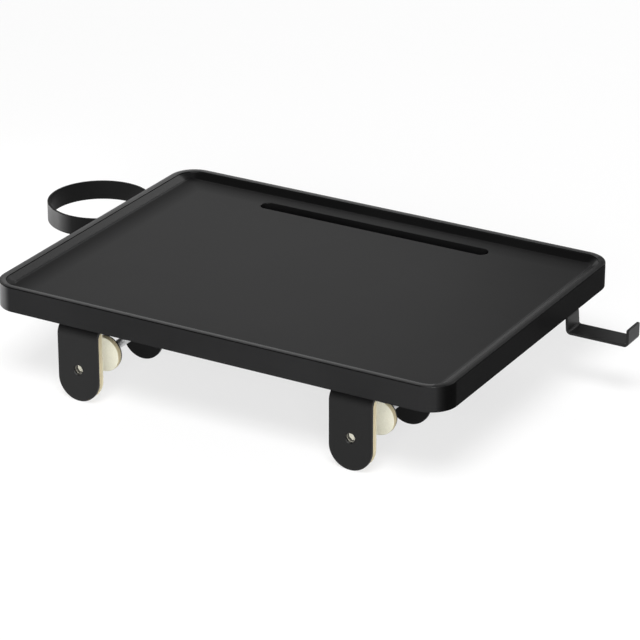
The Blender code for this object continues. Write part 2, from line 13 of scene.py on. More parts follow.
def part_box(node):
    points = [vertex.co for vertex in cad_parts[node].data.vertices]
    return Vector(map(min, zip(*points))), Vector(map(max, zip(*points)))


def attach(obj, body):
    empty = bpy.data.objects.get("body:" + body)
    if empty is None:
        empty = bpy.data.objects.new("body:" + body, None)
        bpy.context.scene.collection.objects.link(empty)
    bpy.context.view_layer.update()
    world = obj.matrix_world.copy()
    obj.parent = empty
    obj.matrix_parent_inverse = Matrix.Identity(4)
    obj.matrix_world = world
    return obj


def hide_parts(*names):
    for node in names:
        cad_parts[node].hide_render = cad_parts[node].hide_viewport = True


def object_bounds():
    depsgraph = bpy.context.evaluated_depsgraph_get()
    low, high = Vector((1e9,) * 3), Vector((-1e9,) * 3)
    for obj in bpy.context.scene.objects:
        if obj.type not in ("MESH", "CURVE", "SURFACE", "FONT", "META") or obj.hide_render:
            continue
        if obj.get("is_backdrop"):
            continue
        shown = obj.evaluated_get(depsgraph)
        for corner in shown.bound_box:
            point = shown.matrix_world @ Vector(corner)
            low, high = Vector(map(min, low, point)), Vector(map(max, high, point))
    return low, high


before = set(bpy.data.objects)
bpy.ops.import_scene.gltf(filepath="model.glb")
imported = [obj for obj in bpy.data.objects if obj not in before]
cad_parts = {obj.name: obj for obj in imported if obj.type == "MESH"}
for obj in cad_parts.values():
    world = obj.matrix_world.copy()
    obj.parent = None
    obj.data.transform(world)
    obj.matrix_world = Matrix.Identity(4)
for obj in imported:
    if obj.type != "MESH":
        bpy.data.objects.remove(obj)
CAD_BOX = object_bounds()

MM = 0.001
SIDES = ("left", "right")

# Camera, at the photograph's angle
CAMERA_PLACE = (1.29602, -2.08292, 1.12195)
CAMERA_TURN = (66.08, 0, 29.88)
CAMERA_LENS = 182.87
SENSOR_WIDTH = 36

# Tray board
TRAY_CORNER = 24 * MM
RIM_WIDTH = 6 * MM
CROWN_TILT = 5
CROWN_RADIUS = 16 * MM
RIM_OUTER_ROUND = 0.9 * MM
RIM_INNER_ROUND = 0.7 * MM
RIM_BOTTOM_ROUND = 0.9 * MM
STEP_RUN = 0.3 * MM
STEP_DROP = 1.0 * MM
STEP_FOOT_ROUND = 0.6 * MM
SLOPE_RUN = 7.5 * MM
COVE_RADIUS = 8 * MM
FLOOR_RECESS = 5 * MM
GROOVE_LENGTH = 230 * MM
GROOVE_WIDTH = 13.5 * MM
GROOVE_DEPTH = 7 * MM
GROOVE_FROM_BACK = 37.5 * MM
GROOVE_EDGE_ROUND = 0.8 * MM
GROOVE_FLOOR_ROUND = 1.2 * MM

# Lacquer: two tones of each shade, gloss of the floor and rim, and what each place adds or takes. The
# right and deep tones are painted shade on the right side, its bends and the back slope; the slope and
# foot glosses are painted highlights, and the losses painted shade.
LACQUER_MATT = ((0.0155, 0.0155, 0.0158), (0.0182, 0.0182, 0.0185))
LACQUER_BLACK = ((0.0055, 0.0055, 0.0056), (0.0068, 0.0068, 0.0069))
LACQUER_RIGHT_SHADE = ((0.0078, 0.0078, 0.0079), (0.0092, 0.0092, 0.0093))
LACQUER_DEEP_SHADE = ((0.0026, 0.0026, 0.0026), (0.0034, 0.0034, 0.0034))
FLOOR_GLOSS = 0.45
RIM_GLOSS = 0.65
LEFT_SLOPE_HIGHLIGHT = 0.08
LEFT_FOOT_HIGHLIGHT = 0.34
RIGHT_SLOPE_HIGHLIGHT = 0.5
BACK_SLOPE_SHADE_GLOSS = 0.22
RIGHT_RIM_SHADE_GLOSS = 1.1
BACK_SLOPE_SHADE_TONE = 0.75

# Flat bars
BAR_THICKNESS = 3 * MM
BAR_BEND_RADIUS = 8 * MM
BAR_EDGE_ROUND = 0.35 * MM
FRONT_HOLE_DIAMETER = 8.5 * MM
REAR_HOLE_DIAMETER = 8.6 * MM
HOLE_EDGE_BREAK = 0.7 * MM
HOOK_THICKNESS = 2.5 * MM
HOOK_BEND_RADIUS = 2 * MM
HOOK_CORNER = 1.2 * MM
HOOK_SET_IN = 3.2 * MM
HOOK_STRAP_LEAN = 1.2 * MM
HOOK_LIP_HEIGHT = 16 * MM
BAR_GLOSS = 0.5
# Painted shade: the brackets' gloss falls from left to right, and the rear legs' fronts take less.
BRACKET_SHADE_GLOSS = (0.48, 0.38)
REAR_LEG_SHADE_GLOSS = 0.14

# Cup ring
RING_WALL = 2.5 * MM
TAB_WIDTH = 40 * MM
TAB_THICKNESS = 3 * MM
TAB_CORNER = 6 * MM
RING_WELD = 1.3 * MM
RING_EDGE_ROUND = 0.5 * MM
# Painted highlight: more gloss on the ring's left front. Painted shade: less on its right and its
# inside.
RING_LEFT_HIGHLIGHT = (0.44, 0.94)
RING_RIGHT_SHADE = 0.13
RING_INSIDE_SHADE = 0.17

# Screws, nut and knob
THREAD_PITCH = 1.25 * MM
THREAD_DEPTH = 0.68 * MM
JOURNAL_DIAMETER = 6 * MM
JOURNAL_LENGTH = 6.1 * MM
NUT_CHAMFER_ANGLE = 30
NUT_EDGE_BREAK = 0.7 * MM
NUT_WELD = 0.9 * MM
NUT_WELD_LEVEL = 0.2 * MM
KNOB_LOBES = 8
KNOB_LOBE_DEPTH = 1.8 * MM
KNOB_NECK_DIAMETER = 17 * MM
KNOB_NECK_LENGTH = 4 * MM
KNOB_EDGE_ROUND = 2.6 * MM
KNOB_DISH_DIAMETER = 20 * MM
KNOB_DISH_DEPTH = 0.8 * MM
KNOB_DISH_SLOPE = 1.5 * MM
HUB_DIAMETER = 12.5 * MM
PLATE_THICKNESS = 1.6 * MM
PLATE_SET_IN = 0.5 * MM
PLATE_BORE_CLEARANCE = 0.3 * MM
FIX_SHANK_DIAMETER = 3.5 * MM
FIX_SUNK_CLEARANCE = 0.3 * MM
FIX_POINT_LENGTH = 3 * MM
FIX_RECESS_SPAN = 4.2 * MM
FIX_RECESS_WIDTH = 1.1 * MM
FIX_RECESS_DEPTH = 1.3 * MM
FIX_FIRST_TURN = 0.4
FIX_TURN_STEP = 1.3

# Felt
FELT_EDGE_ROUND = 0.7 * MM
FELT_CELL = 1.3 * MM
FELT_FLUFF = 0.16 * MM
JAW_PAD_RISE = 1.6 * MM
JAW_PAD_CORNER = 1.5 * MM
GLUE_DEPTH = 0.4 * MM
PUNCH_DEPTH = 3 * MM
# Painted shade on the wall of the jaw pads' holes: within this reach of the axis the cut felt takes the
# dark tone below.
PUNCH_REACH = (5 * MM, 5.4 * MM)
PUNCH_SHADE = (0.03, 0.028, 0.024)

# Studio: the room's tones by the view's height, and lamps with azimuth, elevation, distance, size
# and power
FLOOR_DROP = 0.2 * MM
FLOOR_REACH = 2.2
FLOOR_FADE = (1.0, 2.1)
FLOOR_WHITENING = 0.7
ROOM_TONES = ((0.0, 1.0), (0.05, 0.75), (0.14, 0.42), (0.42, 0.3), (0.6, 0.12), (0.8, 0.05), (1.0, 0.03))
SOFTBOXES = (
    ("key_light", -68, 60, 5.6, (3.0, 2.4), 270),
    ("front_fill", -64, 18, 3.6, (2.4, 1.2), 80),
    ("rim_light", 123, 24, 2.4, (0.9, 0.7), 1.3),
    ("back_light", 80, 36, 3.0, (1.5, 1.1), 15),
    ("left_strip", 186, 0, 0.52, (0.5, 0.074), 1.0),
)

# Facets
CORNER_STEPS = 20
FILLET_STEPS = 5
BEND_STEPS = 12
ROUND_SEGMENTS = 96
SMALL_SEGMENTS = 32
RING_SEGMENTS = 144
KNOB_SEGMENTS = 160
THREAD_SEGMENTS = 20

ALONG_Y = Matrix.Rotation(math.radians(-90), 4, "X")


# Shader trees


class Value:
    """A socket of a finish. Sums and products of values add Math nodes."""

    def __init__(self, finish, socket):
        self.finish = finish
        self.socket = socket

    def math(self, operation, *others):
        inputs = dict(enumerate((self, *others)))
        return self.finish.node("ShaderNodeMath", {"operation": operation}, inputs)

    def __add__(self, other):
        return self.math("ADD", other)

    def __sub__(self, other):
        return self.math("SUBTRACT", other)

    def __rsub__(self, other):
        return self.finish.node("ShaderNodeMath", {"operation": "SUBTRACT"}, {0: other, 1: self})

    def __mul__(self, other):
        return self.math("MULTIPLY", other)

    def __truediv__(self, other):
        return self.math("DIVIDE", other)

    def __abs__(self):
        return self.math("ABSOLUTE")

    __radd__ = __add__
    __rmul__ = __mul__


class Finish:
    """One material and the nodes of its shader tree."""

    def __init__(self, name, **shader):
        self.material = bpy.data.materials.new(name)
        self.material.use_nodes = True
        self.tree = self.material.node_tree
        self.tree.nodes.clear()
        self.output = self.node("ShaderNodeOutputMaterial", {}, {}, None)
        self.shader = self.node("ShaderNodeBsdfPrincipled", {}, shader, "BSDF")
        self.surface(self.shader)

    def surface(self, value):
        self.tree.links.new(value.socket, self.output.inputs["Surface"])

    def node(self, kind, settings, inputs, output=0):
        """A node with its settings made first, then its sockets' values or links."""
        node = self.tree.nodes.new(kind)
        for key, value in settings.items():
            if key == "stops":
                self.set_stops(node.color_ramp, value)
            else:
                setattr(node, key, value)
        self.feed(node, inputs)
        if output is None:
            return node
        return Value(self, self.find(node.outputs, output))

    def feed(self, node, inputs):
        for key, value in inputs.items():
            socket = self.find(node.inputs, key)
            if isinstance(value, Value):
                self.tree.links.new(value.socket, socket)
            else:
                socket.default_value = value

    @staticmethod
    def find(sockets, key):
        """The socket in use with that name or number."""
        if isinstance(key, int):
            return sockets[key]
        return next(s for s in sockets if s.name == key and s.enabled)

    @staticmethod
    def set_stops(ramp, stops):
        while len(ramp.elements) > len(stops):
            ramp.elements.remove(ramp.elements[-1])
        while len(ramp.elements) < len(stops):
            ramp.elements.new(1)
        for element, (position, color) in zip(ramp.elements, stops):
            element.position = position
            element.color = (*color, 1)

    def set(self, **values):
        """Values or links of the shader's own sockets, with spaces written as underscores."""
        self.feed(self.shader.socket.node, {k.replace("_", " "): v for k, v in values.items()})

    def place(self, axis=None):
        """The point on the piece, in metres, or one of its coordinates."""
        point = self.node("ShaderNodeTexCoord", {}, {}, "Object")
        if axis is None:
            return point
        return self.node("ShaderNodeSeparateXYZ", {}, {"Vector": point}, axis)

    def facing(self, axis):
        """One coordinate of the surface's normal."""
        normal = self.node("ShaderNodeTexCoord", {}, {}, "Normal")
        return self.node("ShaderNodeSeparateXYZ", {}, {"Vector": normal}, axis)

    def stretched(self, factors):
        return self.node(
            "ShaderNodeVectorMath", {"operation": "MULTIPLY"}, {0: self.place(), 1: factors}
        )

    def noise(self, grain, detail=3.0, roughness=0.5, vector=None):
        """Noise from 0 to 1 whose lumps are about as wide as the grain, in metres."""
        inputs = {
            "Vector": vector or self.place(),
            "Scale": 1 / grain,
            "Detail": detail,
            "Roughness": roughness,
        }
        return self.node("ShaderNodeTexNoise", {}, inputs, "Fac")

    def between(self, value, low, high, to_low=0.0, to_high=1.0):
        """A value mapped from one range to another, and kept inside it."""
        inputs = {"Value": value, "From Min": low, "From Max": high}
        inputs.update({"To Min": to_low, "To Max": to_high})
        return self.node("ShaderNodeMapRange", {"clamp": True}, inputs, "Result")

    def mix(self, factor, first, second):
        settings = {"data_type": "RGBA"}
        inputs = {"Factor": factor, "A": self.color(first), "B": self.color(second)}
        return self.node("ShaderNodeMix", settings, inputs, "Result")

    @staticmethod
    def color(value):
        return value if isinstance(value, Value) else (*value, 1)

    def bump(self, height, distance, strength=1.0, normal=None):
        inputs = {"Height": height, "Distance": distance, "Strength": strength}
        if normal is not None:
            inputs["Normal"] = normal
        return self.node("ShaderNodeBump", {}, inputs, "Normal")


# Finishes of the table


def make_lacquer(low, high):
    """Satin black lacquer with a faint orange peel and grain, on the board from low to high.

    Its tone and gloss carry painted light and shade by place. The rim's top is glossy, with painted
    shade as less gloss along the right. The upright sides are matt, the left-facing ones with a
    painted highlight as more gloss, the right one with painted shade as a darker tone, darkest in
    its bends. The slope along the back has painted shade as a dark tone and less gloss, the one
    along the right a painted highlight as more gloss, as has the foot of the left one, and the floor
    beside the left and back ones has a painted shadow as less gloss."""
    finish = Finish("black_lacquer")
    x, y, level = [finish.place(axis) for axis in "XYZ"]
    upward, rightward = finish.facing("Z"), finish.facing("X")
    frontward = 0 - finish.facing("Y")
    top = finish.between(upward, 0.3, 0.6)
    rim = finish.between(level, high.z - 0.36 * MM, high.z - 0.24 * MM)
    center, half = (low + high) / 2, (high - low) / 2
    reach = (abs(x - center.x) / half.x).math("MAXIMUM", abs(y - center.y) / half.y)
    outside = finish.between(reach, 0.88, 0.93)
    inside = finish.between(reach, 0.9955, 0.9975, 1, 0)
    side = outside * finish.between(upward, 0.08, 0.3, 1, 0)
    straight = finish.between(abs(frontward), 0.05, 0.12, 1, 0)
    left_slope = straight * finish.between(rightward, 0.12, 0.2)
    left_foot = left_slope * finish.between(rightward, 0.4, 0.46, 1, 0)
    right_slope = finish.between(x, high.x - 13 * MM, high.x - 12 * MM)
    back_slope = top * (1 - rim) * finish.between(frontward - abs(rightward), 0.12, 0.26)
    # Painted shadow of the left and back walls: thinner gloss on the floor beside them.
    inset = (x - low.x).math("MINIMUM", high.y - y)
    wall_shadow = finish.between(inset, 14.2 * MM, 15.6 * MM) * finish.between(inset, 19 * MM, 38 * MM, 1, 0)
    wall_shadow = wall_shadow * finish.between(x, low.x + 60 * MM, center.x, 0.55, 0.38)
    # Painted highlights: more gloss on the left slope, its foot and the right slope. Painted shade: less
    # gloss on the back slope and along the right rim.
    gloss = FLOOR_GLOSS * (1 - wall_shadow) + LEFT_SLOPE_HIGHLIGHT * left_slope + LEFT_FOOT_HIGHLIGHT * left_foot
    gloss = gloss + RIGHT_SLOPE_HIGHLIGHT * right_slope - BACK_SLOPE_SHADE_GLOSS * back_slope
    rim_gloss = RIM_GLOSS - RIGHT_RIM_SHADE_GLOSS * right_slope
    # Painted highlight: more gloss on the left-facing sides.
    left_highlight = side * finish.between(rightward, -0.32, -0.1, 1, 0)
    # Painted shade: a darker tone on the right side, and a deeper one in its bends and on the back
    # slope.
    right = side * finish.between(rightward, 0.6, 0.86)
    bend = right * finish.between(abs(frontward), 0.03, 0.12)
    bend = bend.math("MAXIMUM", BACK_SLOPE_SHADE_TONE * back_slope)
    handled = finish.between(finish.noise(60 * MM, 2), 0.35, 0.7)
    speck = finish.noise(0.9 * MM, 2)
    grain = finish.bump(finish.noise(0.55 * MM, 2), 0.012 * MM, 0.3)
    shades = LACQUER_BLACK, LACQUER_MATT, LACQUER_RIGHT_SHADE, LACQUER_DEEP_SHADE
    black, matt, right_shade_tone, deep_shade_tone = [finish.mix(handled, *tones) for tones in shades]
    finish.set(
        Base_Color=finish.mix(bend, finish.mix(right, finish.mix(side, black, matt), right_shade_tone), deep_shade_tone),
        Roughness=0.38 + 0.03 * handled + 0.03 * speck,
        Specular_IOR_Level=0.004,
        Coat_Weight=inside * (top * gloss + rim * rim_gloss) + left_highlight,
        Coat_Roughness=0.32,
        Normal=finish.bump(finish.noise(7 * MM, 2), 0.03 * MM, 0.25, grain),
    )
    return finish.material


def from_hole(finish):
    """The distance from the axis of the nearer leg's hole."""
    left, right = [(low.x + high.x) / 2 for low, high in (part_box(s + "_jaw_pad") for s in SIDES)]
    x = finish.place("X")
    x = abs(x - left).math("MINIMUM", abs(x - right))
    z = finish.place("Z") - screw_level("left")
    return (x * x + z * z).math("SQRT")


def bracket_gloss(finish):
    """The brackets' gloss, with painted shade: a little less on the right one, least on the rear legs'
    fronts.
    """
    left, right = [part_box(side + "_clamp_bracket") for side in SIDES]
    back = left[1].y
    rear = finish.between(finish.place("Y"), back - 12 * MM, back - 8 * MM)
    rear_shade = rear * finish.between(0 - finish.facing("Y"), 0.4, 0.8)
    plain = finish.between(finish.place("X"), left[1].x, right[0].x, *BRACKET_SHADE_GLOSS)
    return REAR_LEG_SHADE_GLOSS * rear_shade + (1 - rear_shade) * plain


def ring_gloss(finish):
    """The ring's gloss: a painted highlight on its left front, painted shade on its right and its
    inside.
    """
    low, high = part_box("cup_ring")
    radius = (high.y - low.y) / 2
    rightward = finish.facing("X")
    outward = (finish.place("X") - low.x - radius) * rightward
    outward = outward + (finish.place("Y") - (low.y + high.y) / 2) * finish.facing("Y")
    inside = finish.between(outward, -0.4 * radius, -0.2 * radius, 1, 0)
    rise = finish.between(rightward, -0.7, -0.34, *RING_LEFT_HIGHLIGHT)
    outside = rise * finish.between(rightward, -0.32, 0.02, 1, RING_RIGHT_SHADE)
    return outside * (1 - inside) + RING_INSIDE_SHADE * inside


def make_powder_coat(name, gloss=lambda finish: BAR_GLOSS):
    """Black powder coat: a fine pebbled skin with a satin sheen."""
    finish = Finish(name)
    pebble = finish.noise(0.45 * MM, 2, 0.55)
    cloud = finish.noise(25 * MM, 2)
    finish.set(
        Base_Color=finish.mix(cloud, (0.0042, 0.0042, 0.0043), (0.0056, 0.0056, 0.0057)),
        Roughness=0.36 + 0.06 * pebble + 0.05 * cloud,
        Specular_IOR_Level=0.03,
        Coat_Weight=gloss(finish),
        Coat_Roughness=0.41,
        Normal=finish.bump(pebble, 0.02 * MM, 0.4),
    )
    return finish.material


def make_felt(name, glued=None):
    """Wool felt with loose fibres and matted patches: cream on its faces, tan where it is cut.

    A pad glued to the bar at the level glued has painted shade on its glued back, seen through the
    bar's hole, and a near-black painted shade on the wall of its own hole; it is paler at its far side."""
    finish = Finish(name)
    matted = finish.noise(2.2 * MM, 4, 0.6)
    fibre_one = finish.noise(0.7 * MM, 3, 0.6, finish.stretched((1.0, 1.0, 0.22)))
    fibre_two = finish.noise(0.7 * MM, 3, 0.6, finish.stretched((0.22, 1.0, 1.0)))
    fibres = (fibre_one + fibre_two) * 0.5
    face = finish.between(abs(finish.facing("Y")) + (matted - 0.5) * 0.3, 0.45, 0.8)
    cream = finish.mix(matted, (0.92, 0.9, 0.77), (0.86, 0.84, 0.69))
    tan = finish.mix(matted, (0.63, 0.545, 0.34), (0.56, 0.475, 0.285))
    if glued is not None:
        level = finish.place("Y")
        pale = finish.between(level + (matted - 0.5) * MM, glued + 3.2 * MM, glued + 5 * MM, 0, 0.7)
        tan = finish.mix(pale, tan, (0.80, 0.77, 0.57))
        # Painted shade: the glued back, seen through the bar's hole, and the wall of the pad's own hole
        # are darkened.
        glued_back_shade = finish.between(level, glued, glued + GLUE_DEPTH, 1, 0)
        cream = finish.mix(glued_back_shade, cream, (0.33, 0.315, 0.27))
        punch_shade = finish.between(from_hole(finish), *PUNCH_REACH, 1, 0)
        tan = finish.mix(punch_shade, tan, PUNCH_SHADE)
    felt = finish.mix(face, tan, cream)
    shade = finish.between(fibres, 0.3, 0.55, 0.22, 0)
    finish.set(
        Base_Color=finish.mix(shade, felt, (0.50, 0.45, 0.33)),
        Roughness=0.92,
        Specular_IOR_Level=0.15,
        Sheen_Weight=0.2,
        Sheen_Roughness=0.6,
        Normal=finish.bump(fibres, 0.22 * MM, 0.7, finish.bump(matted, 0.3 * MM, 0.5)),
    )
    return finish.material


def make_zinc():
    """Bright zinc plate with faint turning marks and dull patches."""
    finish = Finish("zinc_steel")
    marks = finish.noise(1.2 * MM, 3, 0.6, finish.stretched((0.2, 1.6, 0.2)))
    patch = finish.noise(6 * MM, 3)
    finish.set(
        Base_Color=finish.mix(patch, (0.56, 0.57, 0.6), (0.68, 0.68, 0.66)),
        Metallic=1.0,
        Roughness=0.2 + 0.16 * marks + 0.08 * patch,
        Normal=finish.bump(marks, 0.02 * MM, 0.35),
    )
    return finish.material


def make_plastic():
    """Moulded black plastic with a fine spark-eroded grain."""
    finish = Finish("black_plastic")
    grain = finish.noise(0.35 * MM, 3, 0.65)
    cloud = finish.noise(12 * MM, 2)
    finish.set(
        Base_Color=finish.mix(cloud, (0.012, 0.012, 0.0125), (0.016, 0.016, 0.0165)),
        Roughness=0.5 + 0.1 * grain,
        Specular_IOR_Level=0.4,
        Normal=finish.bump(grain, 0.03 * MM, 0.5),
    )
    return finish.material


def make_screw_black():
    """Blackened steel, brighter where a driver has rubbed it."""
    finish = Finish("black_screw")
    rub = finish.between(finish.noise(0.8 * MM, 3, 0.6), 0.56, 0.7)
    finish.set(
        Base_Color=finish.mix(rub, (0.035, 0.035, 0.037), (0.2, 0.195, 0.185)),
        Metallic=0.8,
        Roughness=0.38 + 0.12 * finish.noise(0.5 * MM, 2),
        Normal=finish.bump(finish.noise(0.5 * MM, 2), 0.02 * MM, 0.4),
    )
    return finish.material


# Outlines in a plane


def polar(radius, angle):
    return radius * math.cos(angle), radius * math.sin(angle)


def filleted(corners, radii, steps=FILLET_STEPS, closed=True):
    """An outline with each corner rounded. radii is one radius, or one for each corner."""
    count = len(corners)
    if not isinstance(radii, (list, tuple)):
        radii = [radii] * count
    corners = [Vector(c) for c in corners]
    points = []
    for i, (corner, radius) in enumerate(zip(corners, radii)):
        at_end = not closed and i in (0, count - 1)
        if radius == 0 or at_end:
            points.append(corner)
            continue
        d_in = (corner - corners[i - 1]).normalized()
        d_out = (corners[(i + 1) % count] - corner).normalized()
        turn = math.atan2(d_in.x * d_out.y - d_in.y * d_out.x, d_in.dot(d_out))
        start = corner - d_in * (radius * math.tan(abs(turn) / 2))
        side = math.copysign(1, turn)
        center = start + Vector((-d_in.y, d_in.x)) * (side * radius)
        for k in range(steps + 1):
            points.append(center + Matrix.Rotation(turn * k / steps, 2) @ (start - center))
    return points


def rounded_rectangle(width, depth, radius, center=(0, 0), steps=CORNER_STEPS):
    w, d = width / 2, depth / 2
    corners = [(w, -d), (w, d), (-w, d), (-w, -d)]
    points = filleted(corners, min(radius, w * 0.9999, d * 0.9999), steps)
    return [p + Vector(center) for p in points]


# Solids


def at_height(outline, z):
    return [(p.x, p.y, z) for p in outline]


def loft(bm, loops, capped=True):
    """A skin over loops of as many points, closed at both ends."""
    rings = [[bm.verts.new(p) for p in loop] for loop in loops]
    for lower, upper in zip(rings, rings[1:]):
        for i in range(len(lower)):
            j = (i + 1) % len(lower)
            bm.faces.new((lower[i], lower[j], upper[j], upper[i]))
    if capped:
        bm.faces.new(rings[0][::-1])
        bm.faces.new(rings[-1])


def merge(bm, distance=0.001 * MM):
    bmesh.ops.remove_doubles(bm, verts=bm.verts[:], dist=distance)


def join(bm, part):
    """Add a second bmesh to the first. The second is used up."""
    mesh = bpy.data.meshes.new("part")
    part.to_mesh(mesh)
    part.free()
    bm.from_mesh(mesh)
    bpy.data.meshes.remove(mesh)


def turned(bm, profile, segments=ROUND_SEGMENTS, closed=False, shape=None):
    """Turn a profile of (radius, height) about Z. shape(angle) may vary the radius.

    A profile that isn't closed has its first and last point on the axis or capped."""
    rings = []
    for radius, height in profile:
        ring = []
        for i in range(segments):
            angle = 2 * math.pi * i / segments
            reach = radius if shape is None else shape(radius, height, angle)
            ring.append((*polar(reach, angle), height))
        rings.append(ring)
    if closed:
        rings.append(rings[0])
    loft(bm, rings, capped=not closed)
    merge(bm)


def add_object(name, data):
    thing = bpy.data.objects.new(name, data)
    bpy.context.scene.collection.objects.link(thing)
    return thing


def add_piece(name, bm, place=None):
    """An object from a bmesh, with its faces turned out."""
    bmesh.ops.recalc_face_normals(bm, faces=bm.faces[:])
    if place is not None:
        bmesh.ops.transform(bm, matrix=place, verts=bm.verts[:])
    mesh = bpy.data.meshes.new(name)
    bm.to_mesh(mesh)
    bm.free()
    return add_object(name, mesh)


def stacked(name, section, outline):
    """A solid over a section of insets and heights. outline takes an inset."""
    bm = bmesh.new()
    loft(bm, [at_height(outline(inset), z) for inset, z in section])
    return add_piece(name, bm)


def carve(piece, tool, operation="DIFFERENCE"):
    """Cut a tool out of a piece, or join or meet the two. The tool is used up."""
    cut = piece.modifiers.new("carve", "BOOLEAN")
    cut.operation = operation
    cut.solver = "EXACT"
    cut.object = tool
    graph = bpy.context.evaluated_depsgraph_get()
    carved = bpy.data.meshes.new_from_object(piece.evaluated_get(graph))
    piece.modifiers.clear()
    plain = piece.data
    piece.data = carved
    bpy.data.meshes.remove(plain)
    bpy.data.objects.remove(tool)
    return piece


def turned_tool(profile, places, segments=SMALL_SEGMENTS):
    bm = bmesh.new()
    for place in places:
        one = bmesh.new()
        turned(one, profile, segments)
        bmesh.ops.transform(one, matrix=place, verts=one.verts[:])
        join(bm, one)
    return add_piece("tool", bm)


def hole_profile(radius, thickness, edge_break=HOLE_EDGE_BREAK, over=MM):
    """A through hole from height 0 to the thickness, with both edges broken."""
    wide = radius + edge_break
    return [
        (0, -over),
        (wide, -over),
        (wide, 0),
        (radius, edge_break),
        (radius, thickness - edge_break),
        (wide, thickness),
        (wide, thickness + over),
        (0, thickness + over),
    ]


def dress(piece, material, body, nodes=(), sharp=35):
    """Give a piece its finish and its body, and hide the nodes that it stands for."""
    mesh = piece.data
    mesh.materials.clear()
    mesh.materials.append(material)
    mesh.shade_smooth()
    mesh.set_sharp_from_angle(angle=math.radians(sharp))
    weighted = piece.modifiers.new("weighted_normals", "WEIGHTED_NORMAL")
    weighted.keep_sharp = True
    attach(piece, body)
    if nodes:
        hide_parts(*nodes)
    return piece


# Tray board


def tray_levels(low, top, floor):
    """Insets and heights over the board's bottom edge, crowned rim, step, slope and cove."""
    tilt = math.radians(CROWN_TILT)
    peak = top + CROWN_RADIUS * (1 / math.cos(tilt) - 1)
    shoulder = peak - RIM_WIDTH / 2 * math.tan(tilt)
    foot = RIM_WIDTH + SLOPE_RUN
    corners = [
        (RIM_WIDTH, low),
        (0, low),
        (0, shoulder),
        (RIM_WIDTH / 2, peak),
        (RIM_WIDTH, shoulder),
        (RIM_WIDTH + STEP_RUN, shoulder - STEP_DROP),
        (foot, floor),
        (foot + COVE_RADIUS, floor),
    ]
    rim_rounds = [RIM_BOTTOM_ROUND, RIM_OUTER_ROUND, CROWN_RADIUS, RIM_INNER_ROUND]
    radii = [0, *rim_rounds, STEP_FOOT_ROUND, COVE_RADIUS, 0]
    return filleted(corners, radii, 7, closed=False)


def make_tray(material):
    low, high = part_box("tray_board")
    size = high - low
    center = ((low.x + high.x) / 2, (low.y + high.y) / 2)
    floor = high.z - FLOOR_RECESS

    def board(inset):
        corner = max(TRAY_CORNER - inset, 4 * MM)
        return rounded_rectangle(size.x - 2 * inset, size.y - 2 * inset, corner, center)

    tray = stacked("tray_board_dressed", tray_levels(low.z, high.z, floor), board)

    bottom = floor - GROOVE_DEPTH
    over = 2 * MM
    section = filleted(
        [(GROOVE_WIDTH / 4, bottom), (0, bottom), (0, floor), (-over, floor), (-over, floor + over)],
        [0, GROOVE_FLOOR_ROUND, GROOVE_EDGE_ROUND, 0, 0],
        closed=False,
    )
    middle = (center[0], high.y - GROOVE_FROM_BACK)

    def groove(inset):
        width = GROOVE_WIDTH - 2 * inset
        return rounded_rectangle(GROOVE_LENGTH - 2 * inset, width, width / 2, middle)

    carve(tray, stacked("groove_tool", section, groove))
    return dress(tray, material, "table", ["tray_board"], 50)


# Bent flat bars


class BarPath:
    """Middle line of a bent flat bar in its own plane: straight runs joined by bends."""

    def __init__(self, corners, bend_radius, thickness):
        self.thickness = thickness
        radius = bend_radius + thickness / 2
        self.runs = []
        self.cuts = []
        length = 0
        corners = [Vector(c) for c in corners]
        point = corners[0]
        for i, corner in enumerate(corners[1:], 1):
            direction = (corner - point).normalized()
            if i == len(corners) - 1:
                self.runs.append((length, point, direction, 0))
                length += (corner - point).length
                break
            after = (corners[i + 1] - corner).normalized()
            turn = math.atan2(direction.x * after.y - direction.y * after.x, direction.dot(after))
            setback = radius * math.tan(abs(turn) / 2)
            self.runs.append((length, point, direction, 0))
            length += (corner - point).length - setback
            start = corner - direction * setback
            self.runs.append((length, start, direction, math.copysign(1 / radius, turn)))
            sweep = radius * abs(turn)
            self.cuts += [length + sweep * k / BEND_STEPS for k in range(BEND_STEPS + 1)]
            length += sweep
            point = corner + after * setback
        self.length = length

    def at(self, u):
        """The point of the middle line at a length along it, and its direction there."""
        start, point, direction, curve = [r for r in self.runs if r[0] <= max(u, 0)][-1]
        ahead = u - start
        if curve == 0:
            return point + direction * ahead, direction
        turn = ahead * curve
        normal = Vector((-direction.y, direction.x))
        moved = direction * (math.sin(turn) / curve) + normal * ((1 - math.cos(turn)) / curve)
        return point + moved, Matrix.Rotation(turn, 2) @ direction

    def reach(self, run, axis, value):
        """The length at which a straight run, counted from 0, reaches a coordinate."""
        start, point, direction, _ = self.runs[2 * run]
        return start + (value - point[axis]) / direction[axis]


def flat_bar(name, length, width, thickness, corner):
    """A flat bar along X with rounded edges, before it is bent."""
    bm = bmesh.new()
    edge = BAR_EDGE_ROUND
    section = filleted(
        [(width / 4, 0), (0, 0), (0, thickness), (width / 4, thickness)], edge, 3, closed=False
    )
    loops = []
    for inset, z in section[1:-1]:
        outline = rounded_rectangle(
            length - 2 * inset, width - 2 * inset, corner - inset, (length / 2, 0), 28
        )
        loops.append(at_height(outline, z))
    loft(bm, loops)
    merge(bm)
    return add_piece(name, bm)


